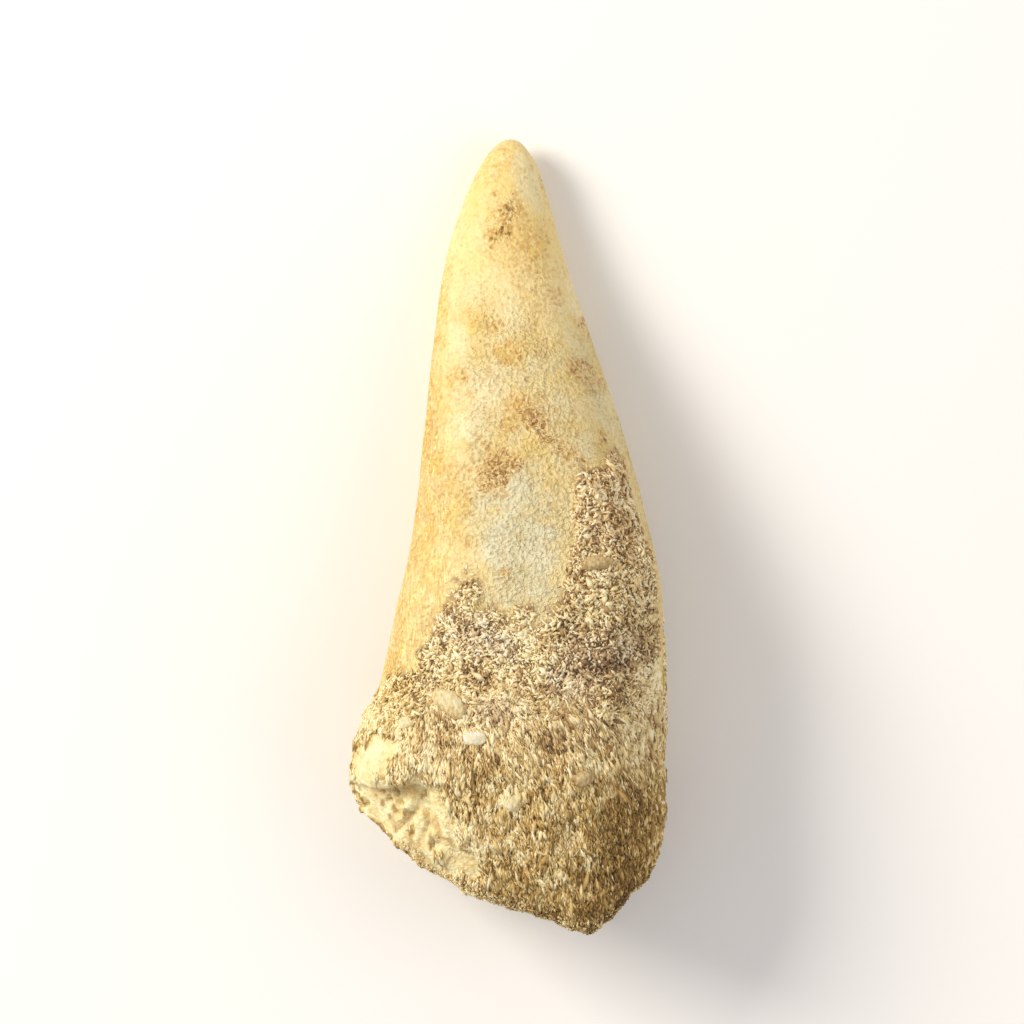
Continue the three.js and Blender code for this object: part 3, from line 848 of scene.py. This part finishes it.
# %% [markdown]
# ## Fossil enamel and bone
#
# Fossil enamel is apatite: hard, cream, and satin after long wear. Bone is the same mineral, matt
# and porous. One material covers both, because on the tooth they pass into each other. It starts
# from cream with warm and pale clouds, and the other skins follow, each through its mask. In a row
# of coats stand the colour, the pattern or mask, the values of it that give none and all, the most
# that it may cover, and a mask that holds it back.

# %% Fossil material
APATITE_IOR = 1.63
WRINKLE_DEPTH = 0.42 * MM
SKINS = "film strip bone crust pore broken streaky light grainy".split()


def fossil_apatite():
    """Enamel and bone in one material, steered by the masks of the skins."""
    material, tree, shader = new_material("fossil_apatite")
    clouds = pattern(tree, 3.2, 3, (1, 0.6, 1))
    mottle = pattern(tree, 0.7, 3)
    blotches = pattern(tree, 1.6, 4)
    grit = pattern(tree, 0.12, 1.5)
    wrinkles = pattern(tree, 0.21, 3)
    speck = pattern(tree, 0.2, 1)
    flecks = pattern(tree, 0.3, 3)
    streaks = pattern(tree, 0.11, 2, (1, 0.3, 0.5), streaked=True)
    fibres = pattern(tree, 0.15, 2, (1, 0.14, 0.4), streaked=True)
    film, strip, bone, crust, pore, broken, streaky, light, grainy = (mask_of(tree, name) for name in SKINS)
    # Between the wrinkles lie gaps. Rust gathers in them, and they are also painted darker everywhere, as
    # painted shade beside the bump.
    gap = add(tree, "MapRange", {0: wrinkles, 1: 0.52, 2: 0.36})
    # The pale coat also holds painted light, on the right side of the tip.
    pale = ragged_mask(tree, "pale", mottle, 0.9, 0, 0.9)
    colour = coats(tree, "#f1d176", [
        ("#f7e0a0", clouds, 0.38, 0.64),
        ("#eecc6f", mottle, 0.48, 0.74, 0.6),
        ("#f5d579", blotches, 0.48, 0.62, 0.7),
        ("#e9be62", speck, 0.5, 0.7, 0.35),
        ("#faf0c2", pale, 0, 1, 0.6),
    ])
    # The film of fine sand, the striped strip, the golden clouds and the bare window.
    golden = ragged_mask(tree, "golden", mottle, 1.6, 0, 0.9)
    window = coat(tree, "#e2d8aa", "#efeac6", blotches, 0.4, 0.6)
    colour = coats(tree, colour, [
        ("#f6eabc", blotches, 0.36, 0.58, 0.9, film),
        ("#fbe086", strip, 0, 1, 0.8),
        ("#f0c14c", mottle, 0.48, 0.64, 0.6, strip),
        ("#cc9226", fibres, 0.53, 0.63, 0.75, strip),
        ("#fdf0b6", fibres, 0.48, 0.38, 0.6, strip),
        ("#cf932a", speck, 0.5, 0.64, 0.6, strip),
        ("#efbd40", golden, 0, 1, 0.85),
        ("#fdefa4", flecks, 0.46, 0.38, 0.75, golden),
        ("#b97a14", speck, 0.48, 0.62, 0.8, golden),
        ("#f1e1b0", ragged_mask(tree, "window", blotches, 0.8, -0.1, 0.5), 0, 1, 0.7),
        (window, ragged_mask(tree, "window", mottle, 1.1, -0.1, 1.2)),
        # Painted shade in the gaps between the wrinkles.
        ("#c29c58", gap, 0, 1, 0.42, grainy),
    ])
    # Rust washes thinly over a blot, gathers in the gaps, and is brown where it is thickest. One blot on the
    # fang's right flank is painted shade laid in rust's colours.
    wash = ragged_mask(tree, "rust_and_shade", mottle, 1.5, 0.1, 1.1)
    thick = ragged_mask(tree, "rust_and_shade", mottle, 1.8, 0.7, 1.2)
    colour = coats(tree, colour, [
        ("#e2aa38", speck, 0.4, 0.56, 0.7, wash),
        ("#b97a16", gap, 0, 0.8, 0.85, wash),
        ("#7a4c0e", gap, 0.15, 0.75, 0.9, thick),
        ("#b98432", speck, 0.7, 0.76, 0.5),
    ])
    # The ground that the sand is set in, dark partly as its own brown and partly as painted shade between the
    # grains.
    rough = add(tree, "Mix", {0: streaky, 2: grit, 3: streaks})
    depth = add(tree, "MapRange", {0: rough, 1: 0.36, 2: 0.64, 3: -0.06, 4: 0.56})
    tone = maths(tree, "ADD", depth, light)
    colour = coat(tree, colour, sand_colour(tree, tone), ragged_mask(tree, "sandy", grit, 0.9, 0.2, 0.8))
    # Bare bone, paler in its middle, the pores in it, the painted shade under the ledge and the old break.
    bare = coats(tree, "#e4b75c", [
        ("#fff5c2", bone, 0.25, 0.95),
        ("#e2b65f", speck, 0.5, 0.7, 0.5),
        ("#f2d488", mottle, 0.45, 0.6, 0.6),
        # Painted shade in the gaps of the bone's wrinkles.
        ("#cba158", gap, 0, 1, 0.25),
    ])
    end_face = coat(tree, "#c09a60", "#a0763f", mottle, 0.35, 0.65)
    end_face = coat(tree, end_face, "#5f4529", flecks, 0.5, 0.66, 0.8)
    colour = coats(tree, colour, [
        (bare, ragged_mask(tree, "bone", speck, 1, 0, 0.9)),
        # Brown in the pores and between the lobes, and painted shade under the ledge.
        ("#ad7f3b", pore),
        (end_face, broken),
    ])
    feed(shader, "Base Color", colour)
    # Satin on the enamel, and matt on sand and bone.
    matt = maths(tree, "MAXIMUM", crust, broken)
    feed(shader, "Roughness", add(tree, "MapRange", {0: matt, 3: 0.5, 4: 0.85}))
    feed(shader, "IOR", APATITE_IOR)
    # Wrinkles and grit too fine for the mesh are a bump.
    height = maths(tree, "MULTIPLY", maths(tree, "SUBTRACT", wrinkles, 0.5), grainy)
    height = maths(tree, "MULTIPLY_ADD", rough, maths(tree, "MULTIPLY", crust, 0.5), height)
    bump = add(tree, "Bump", {"Height": height, "Strength": 1, "Distance": WRINKLE_DEPTH})
    feed(shader, "Normal", bump)
    return material


# %% Make the tooth
GROOVE_DARKENING = 0.55
LEDGE_PAINTED_SHADE = 0.3

# The pores and the gaps between the lobes are painted brown, and a band under the ledge is painted shade in
# the same brown.
tooth_x, tooth_y = tooth_at[:, 0], tooth_at[:, 1]
grooves = GROOVE_DARKENING * ramp(0.12, 0.45, -fingers(tooth_at))
pores_and_grooves = np.maximum(pores(tooth_at), grooves * ramp(-12.8, -13.6, tooth_y))
# Painted shade: a warm brown band right under the ledge, where its shadow falls.
shade = LEDGE_PAINTED_SHADE * bell(LEDGE_Y - 0.3 - tooth_y, 0.35) * skin["chip"] * ramp(-4.3, -5, tooth_x)
skin["pore"] = np.maximum(pores_and_grooves, shade) * skin["bone"]
faces, uv = tooth_faces(len(tooth_grid))
tooth = mesh_object("fossil_tooth", tooth_at, faces, uv, skin, fossil_apatite())
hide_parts("tooth")

# %% [markdown]
# ## Scattering stones over the skin
#
# Places are drawn at random over the skin, more where a density map is high, and of those in one
# small cube of space only one is kept, which spaces them like packed grains. A particle system
# would do the same, but its copies are lost in an export, so the stones are joined into meshes.

# %% Scatter
def skin_cells():
    """Corners, area and normal of each cell of the tooth's grid."""
    right = np.roll(tooth_grid, -1, axis=1)
    corners = np.stack([tooth_grid[:-1], right[:-1], tooth_grid[1:], right[1:]], 2).reshape(-1, 4, 3)
    cross = np.cross(corners[:, 3] - corners[:, 0], corners[:, 2] - corners[:, 1])
    size = np.linalg.norm(cross, axis=1)
    return corners, size / 2, cross / np.maximum(size, 1e-12)[:, None]


cell_corners, cell_area, cell_normal = skin_cells()
cell_middle = cell_corners.mean(1)


def cell_mask(name):
    """A mask of the skin at each cell."""
    rows = skin[name][1:-1].reshape(len(tooth_grid), AROUND)
    return ((rows[:-1] + rows[1:]) / 2).ravel()


def scatter(density, tries, spacing, seed, most):
    """Random cells and places in them, spaced by thinning."""
    rng = np.random.default_rng(seed)
    weight = cell_area * density
    cell = rng.choice(len(weight), tries, p=weight / weight.sum())
    s, t = rng.random((2, tries, 1))
    c = cell_corners[cell]
    place = mix(mix(c[:, 0], c[:, 1], s), mix(c[:, 2], c[:, 3], s), t)
    _, first = np.unique(np.floor(place / spacing), axis=0, return_index=True)
    first = rng.permutation(first)[:most]
    return cell[first], place[first]


# %% [markdown]
# ## Stones
#
# A grain is a splinter of eight faces with its corners pulled in and out, which at a fifth of a
# millimetre is all the shape that shows. The coarse grains and the pebbles are balls of more faces.
# Each stands along the skin's normal, and points the way that the streaks run.

# %% Stone mesh
SHAPES = 24
UV_REACH = 0.42


def ball(subdivisions):
    """Points and triangles of a round ball."""
    made = bmesh.new()
    bmesh.ops.create_icosphere(made, subdivisions=subdivisions, radius=1)
    points = np.array([v.co for v in made.verts])
    faces = np.array([[v.index for v in f.verts] for f in made.faces])
    made.free()
    return points, faces


def splinter():
    """Points and triangles of an eight-sided splinter."""
    points = np.concatenate([np.eye(3), -np.eye(3)])
    faces = [(0, 1, 2), (1, 3, 2), (3, 4, 2), (4, 0, 2), (1, 0, 5), (3, 1, 5), (4, 3, 5), (0, 4, 5)]
    return points, np.array(faces)


def unit(v):
    """Vectors brought to length 1."""
    return v / np.maximum(np.linalg.norm(v, axis=-1, keepdims=True), 1e-12)


def frames(along, normal):
    """The axes of stones: the way they point, across it, and up along the normal."""
    x = unit(along - (along * normal).sum(-1, keepdims=True) * normal)
    return np.stack([x, np.cross(normal, x), normal], -2)


def joined(points, faces, count, across, down, reach):
    """The faces of many copies of a stone, and the map: a table with a cell for each copy."""
    step = len(points) * np.arange(count)[:, None, None]
    cell = np.stack(np.divmod(np.arange(count), down), -1)[:, None, None]
    flat = (cell + 0.5 + reach * points[faces][..., :2]) / [across, down]
    return (faces + step).reshape(-1, 3), flat.reshape(-1, 2)


def stones(name, template, place, normal, size, along, attributes, material, seed):
    """Joined stones. size is each stone's length, width and height; along is the way it points."""
    rng = np.random.default_rng(seed)
    points, faces = template
    pulled = rng.uniform(0.7, 1.15, (SHAPES, len(points), 1))
    shapes = points * pulled + rng.normal(0, 0.12, (SHAPES, len(points), 3))
    own = shapes[rng.integers(SHAPES, size=len(place))] * size[:, None, :] / 2
    all_points = (place[:, None] + own @ frames(along, normal)).reshape(-1, 3)
    side = math.ceil(math.sqrt(len(place)))
    all_faces, flat = joined(points, faces, len(place), side, side, UV_REACH)
    spread = {label: np.repeat(values, len(points)) for label, values in attributes.items()}
    # Each grain is painted lighter at its top and darker at its foot: painted shade, as if its neighbours
    # shaded its lower part.
    height = np.tile(points[:, 2], len(place))
    spread["tone"] = spread["tone"] + 0.2 * height + rng.normal(0, 0.1, len(height))
    mesh_object(name, all_points, [all_faces], [flat], spread, material)


# %% [markdown]
# ## Sand
#
# Sand is mostly quartz with a skin of iron: cream, tan and brown grains side by side, with a few
# dark ones. Each grain has a tone of its own, drawn round a tone that drifts over the crust.

# %% Sand materials
STONE_ROUGHNESS = 0.8
QUARTZ_IOR = 1.54


def sand(name, stops=None):
    """Matt stone, coloured by each grain's tone."""
    material, tree, shader = new_material(name)
    tone = mask_of(tree, "tone")
    colour = ramp_of(tree, tone, stops) if stops else sand_colour(tree, tone)
    feed(shader, "Base Color", colour)
    feed(shader, "Roughness", STONE_ROUGHNESS)
    feed(shader, "IOR", QUARTZ_IOR)
    return material


quartz_sand = sand("iron_stained_quartz_sand")
rusty_sand = sand("rusty_sand", [(0, "#795833"), (0.35, "#ac834e"), (0.7, "#dab87f"), (1, "#f3dfb0")])
film_sand = sand("fine_cream_sand", [(0, "#d4b070"), (0.4, "#e6cc8e"), (1, "#f4e4b4")])

# %% Lay the sand
TRIES = 5
SPACING = 0.8
TONE_SPREAD = 0.22
SIZE_SPREAD = 0.3
WAY_SPREAD = 0.24
STREAK_STRETCH = 1.9
GRAIN_HEIGHT = 0.95
FLOOR_GAP = 0.16


def sand_layer(
    name, template, density, seed, size, most, material, tone=0.68, proud=0.08, slender=1
):
    """A layer of sand. size is the grains' mean width, slender how much longer than wide they are,
    and proud how far their middles stand out of the skin, as a share of their size."""
    cell, place = scatter(density, most * TRIES, size * SPACING, seed, most)
    rng = np.random.default_rng(seed + 1)
    normal = unit(cell_normal[cell])
    tones = crust_tones(place)
    x, y = place[:, 0], place[:, 1]
    lean = FAN_RATE + FAN_EXTRA / (1 + np.exp(FAN_TURN - y))
    flow = np.stack([-lean * (x - FAN_MIDDLE), 1 + 0 * y, 0 * y], -1)
    streaky = tones["streaky"][:, None]
    rim = cell_mask("rim")[cell][:, None]
    along = mix(rng.normal(size=place.shape), flow + rng.normal(0, WAY_SPREAD, place.shape), streaky)
    grain = size * np.exp(rng.normal(0, SIZE_SPREAD, len(place)))[:, None] * (1 - 0.4 * rim)
    long = slender * mix(1, STREAK_STRETCH, streaky * (1 - rim))
    shape = np.concatenate([long, mix(1, 0.9, streaky), 0 * streaky + GRAIN_HEIGHT], 1)
    sizes = grain * shape * rng.uniform(0.8, 1.2, shape.shape)
    own_tone = np.clip(rng.normal(tone, TONE_SPREAD, len(place)) + tones["light"], 0.1, 1)
    seat = place + normal * grain * proud
    spread = {"tone": own_tone} | {tint: tones[tint] for tint in SAND_TINTS}
    stones(name, template, seat, normal, sizes, along, spread, material, seed + 2)


sandy_cells = cell_mask("sandy") ** 4
bare_cells = 1 - cell_mask("sandy")
fibrous_cells = cell_mask("streaky")
upper_cells = cell_normal[:, 2] > 0.2
on_top = sandy_cells * upper_cells
loose = on_top * (1 - 0.85 * fibrous_cells)
fibrous = on_top * fibrous_cells
underneath = sandy_cells * ~upper_cells * (cell_middle[:, 2] > FLOOR_GAP)
film = cell_mask("film") ** 2 * bare_cells
rusted = ramp(0.5, 1, cell_mask("rust_and_shade")) * bare_cells * ramp(7.2, 5.6, cell_middle[:, 1])

grains, splinters = ball(1), splinter()
sand_layer("crust_sand_upper", splinters, loose, 11, 0.13, 12500, quartz_sand, slender=2.6)
sand_layer("crust_sand_fibrous", splinters, fibrous, 17, 0.128, 17000, quartz_sand, slender=1.7)
sand_layer("crust_sand_coarse", grains, on_top, 13, 0.17, 160, quartz_sand, tone=0.6, slender=1.4)
sand_layer("crust_sand_under", splinters, underneath, 21, 0.15, 22000, quartz_sand, slender=1.8)
sand_layer("fine_sand_film", splinters, film, 31, 0.12, 5000, film_sand, 0.5, -0.2)
sand_layer(
    "rust_spot_sand", splinters, rusted, 41, 0.105, 1200, rusty_sand, tone=0.55, proud=-0.1, slender=2.2
)

# %% [markdown]
# ## Pebbles and shell scraps
#
# A few bigger stones sit in the sand. Each is a fine ball pulled out of round, flattened, and laid
# on the skin.

# %% Pebbles
# x, y, half length, half width, turn in degrees, height above the ground, tone
PEBBLES = [
    (-2.75, -8.1, 0.95, 0.55, -38, 0.12, 0.5), (4.35, -1.4, 0.9, 0.3, 14, 0.12, 0.35),
    (-1.7, -9.8, 0.6, 0.38, -8, 0.07, 0.72), (3.55, -11.6, 0.6, 0.42, 20, 0.06, 0.3),
    (-4.95, -9.05, 0.36, 0.3, 0, 0.1, 0.58), (0.1, -12.8, 0.5, 0.36, 60, 0.08, 0.56),
]
PEBBLE_THICKNESS = 0.3
PEBBLE_TAPER = 0.3
PEBBLE_SQUARING = 0.92
PEBBLE_UV_REACH = 0.45


def on_skin(x, y):
    """Place and normal of the upper skin at x, y."""
    away = np.hypot(cell_middle[:, 0] - x, cell_middle[:, 1] - y) + 100 * (cell_normal[:, 2] < 0.1)
    near = np.argsort(away)[:40]
    return cell_middle[near[0]], unit(cell_normal[near].mean(0))


def pebble_mesh():
    """Points, faces, map and tones of all the pebbles."""
    points, faces = ball(4)
    all_points, tones = [], []
    for x, y, long, wide, turn, rise, tone in PEBBLES:
        place, normal = on_skin(x, y)
        lumps = 0.26 * noise_at(points + tone * 9, 0.9) + 0.1 * noise_at(points - tone * 7, 0.4)
        lumpy = points * (1 + lumps + 0.04 * noise_at(points, 0.16))[:, None]
        lumpy[:, 1] *= 1 - PEBBLE_TAPER * points[:, 0]
        own = np.sign(lumpy) * np.abs(lumpy) ** PEBBLE_SQUARING * [long, wide, PEBBLE_THICKNESS]
        along = np.array([math.cos(math.radians(turn)), math.sin(math.radians(turn)), 0])
        seat = place + normal * (rise - PEBBLE_THICKNESS / 2)
        all_points.append(seat + own @ frames(along, normal))
        tones.append(tone + 0.1 * noise_at(points + tone, 0.7))
    all_faces, flat = joined(points, faces, len(PEBBLES), len(PEBBLES), 1, PEBBLE_UV_REACH)
    return np.concatenate(all_points), all_faces, flat, np.concatenate(tones)


PEBBLE_COLOURS = [
    (0, "#6f5432"), (0.35, "#a98c5c"), (0.55, "#cdb27c"),
    (0.75, "#e6d6a4"), (0.9, "#ece3c2"), (1, "#f2e9ee"),
]


def pebble_stone():
    """Chalky limestone and worn shell."""
    material, tree, shader = new_material("pebble_and_shell")
    chalky = pattern(tree, 0.14, 3, (1, 0.5, 1))
    stained = maths(tree, "MULTIPLY_ADD", chalky, 0.9, mask_of(tree, "tone"))
    shifted = maths(tree, "SUBTRACT", stained, 0.28)
    feed(shader, "Base Color", ramp_of(tree, shifted, PEBBLE_COLOURS))
    feed(shader, "Roughness", STONE_ROUGHNESS)
    bump = add(tree, "Bump", {"Height": chalky, "Strength": 0.8, "Distance": 0.12 * MM})
    feed(shader, "Normal", bump)
    return material


points, faces, uv, tones = pebble_mesh()
mesh_object("pebbles", points, [faces], [uv], {"tone": tones}, pebble_stone())

# %% [markdown]
# ## Print the size and finish
#
# The dressed tooth has to stay inside the solid model's box, so both boxes are printed.

# %% Finish
bpy.context.view_layer.update()
boxes = {"cad": cad_box, "visual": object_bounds()}
{name: [list(corner) for corner in box] for name, box in boxes.items()}
for name, box in boxes.items():
    print(name, "mm:", [[round(c / MM, 2) for c in corner] for corner in box])
